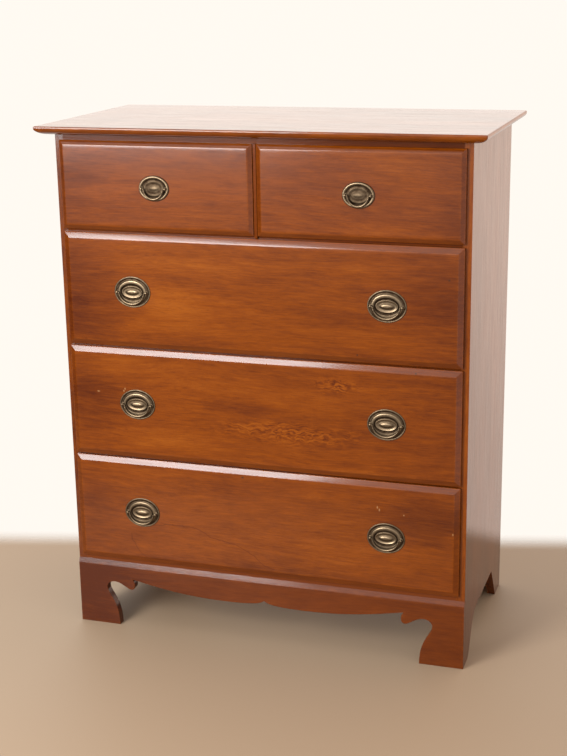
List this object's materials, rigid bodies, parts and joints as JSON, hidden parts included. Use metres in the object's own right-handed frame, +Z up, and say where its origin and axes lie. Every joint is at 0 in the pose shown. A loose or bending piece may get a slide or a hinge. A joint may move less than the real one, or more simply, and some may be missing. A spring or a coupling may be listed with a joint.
{
  "type": "chest of drawers",
  "caption": "Mahogany chest with small drawers over long ones, lipped fronts, oval brass bail pulls and a scrolled apron on bracket feet.",
  "frame": {"origin": "on the floor, under the middle of the top board", "axes": "+X to the right across the front, +Y from the front to the back, +Z up"},
  "size_m": [0.98, 0.502, 1.163],
  "materials": {
    "mahogany": "satin shellac over reddish brown mahogany",
    "pine": "bare planed softwood, yellowed",
    "brass": "aged stamped and cast brass, dark in its hollows"
  },
  "bodies": {
    "case": {"top_board": "mahogany", "side_left": "mahogany", "side_right": "mahogany", "back_panel": "pine", "top_rail": "mahogany", "rail_below_1": "mahogany", "rail_below_2": "mahogany", "rail_below_3": "mahogany", "bottom_board": "pine", "centre_divider": "mahogany", "runner_1_left": "pine", "runner_1_right": "pine", "runner_2_left": "pine", "runner_2_right": "pine", "runner_3_left": "pine", "runner_3_right": "pine", "front_apron": "mahogany", "rear_foot_left": "pine", "rear_foot_right": "pine"},
    "drawer_1_left": {"drawer_1_left_front": "mahogany", "drawer_1_left_side_left": "pine", "drawer_1_left_side_right": "pine", "drawer_1_left_back": "pine", "drawer_1_left_bottom": "pine", "pull_1_left_plate": "brass"},
    "drawer_1_right": {"drawer_1_right_front": "mahogany", "drawer_1_right_side_left": "pine", "drawer_1_right_side_right": "pine", "drawer_1_right_back": "pine", "drawer_1_right_bottom": "pine", "pull_1_right_plate": "brass"},
    "drawer_2": {"drawer_2_front": "mahogany", "drawer_2_side_left": "pine", "drawer_2_side_right": "pine", "drawer_2_back": "pine", "drawer_2_bottom": "pine", "pull_2_left_plate": "brass", "pull_2_right_plate": "brass"},
    "drawer_3": {"drawer_3_front": "mahogany", "drawer_3_side_left": "pine", "drawer_3_side_right": "pine", "drawer_3_back": "pine", "drawer_3_bottom": "pine", "pull_3_left_plate": "brass", "pull_3_right_plate": "brass"},
    "drawer_4": {"drawer_4_front": "mahogany", "drawer_4_side_left": "pine", "drawer_4_side_right": "pine", "drawer_4_back": "pine", "drawer_4_bottom": "pine", "pull_4_left_plate": "brass", "pull_4_right_plate": "brass"},
    "bail_1_left": {"pull_1_left_bail": "brass"},
    "bail_1_right": {"pull_1_right_bail": "brass"},
    "bail_2_left": {"pull_2_left_bail": "brass"},
    "bail_2_right": {"pull_2_right_bail": "brass"},
    "bail_3_left": {"pull_3_left_bail": "brass"},
    "bail_3_right": {"pull_3_right_bail": "brass"},
    "bail_4_left": {"pull_4_left_bail": "brass"},
    "bail_4_right": {"pull_4_right_bail": "brass"}
  },
  "joints": [
    {"name": "slide_drawer_1_left", "type": "slide", "parent": "case", "child": "drawer_1_left", "axis": [0, -1, 0], "range_m": [0, 0.3]},
    {"name": "slide_drawer_1_right", "type": "slide", "parent": "case", "child": "drawer_1_right", "axis": [0, -1, 0], "range_m": [0, 0.3]},
    {"name": "slide_drawer_2", "type": "slide", "parent": "case", "child": "drawer_2", "axis": [0, -1, 0], "range_m": [0, 0.3]},
    {"name": "slide_drawer_3", "type": "slide", "parent": "case", "child": "drawer_3", "axis": [0, -1, 0], "range_m": [0, 0.3]},
    {"name": "slide_drawer_4", "type": "slide", "parent": "case", "child": "drawer_4", "axis": [0, -1, 0], "range_m": [0, 0.3]},
    {"name": "hinge_bail_1_left", "type": "hinge", "parent": "drawer_1_left", "child": "bail_1_left", "pos_m": [-0.22455, -0.2346, 1.03425], "axis": [-1, 0, 0], "range_deg": [0, 170]},
    {"name": "hinge_bail_1_right", "type": "hinge", "parent": "drawer_1_right", "child": "bail_1_right", "pos_m": [0.22455, -0.2346, 1.03425], "axis": [-1, 0, 0], "range_deg": [0, 170]},
    {"name": "hinge_bail_2_left", "type": "hinge", "parent": "drawer_2", "child": "bail_2_left", "pos_m": [-0.285, -0.2346, 0.80625], "axis": [-1, 0, 0], "range_deg": [0, 170]},
    {"name": "hinge_bail_2_right", "type": "hinge", "parent": "drawer_2", "child": "bail_2_right", "pos_m": [0.285, -0.2346, 0.80625], "axis": [-1, 0, 0], "range_deg": [0, 170]},
    {"name": "hinge_bail_3_left", "type": "hinge", "parent": "drawer_3", "child": "bail_3_left", "pos_m": [-0.285, -0.2346, 0.54975], "axis": [-1, 0, 0], "range_deg": [0, 170]},
    {"name": "hinge_bail_3_right", "type": "hinge", "parent": "drawer_3", "child": "bail_3_right", "pos_m": [0.285, -0.2346, 0.54975], "axis": [-1, 0, 0], "range_deg": [0, 170]},
    {"name": "hinge_bail_4_left", "type": "hinge", "parent": "drawer_4", "child": "bail_4_left", "pos_m": [-0.285, -0.2346, 0.2925], "axis": [-1, 0, 0], "range_deg": [0, 170]},
    {"name": "hinge_bail_4_right", "type": "hinge", "parent": "drawer_4", "child": "bail_4_right", "pos_m": [0.285, -0.2346, 0.2925], "axis": [-1, 0, 0], "range_deg": [0, 170]}
  ]
}
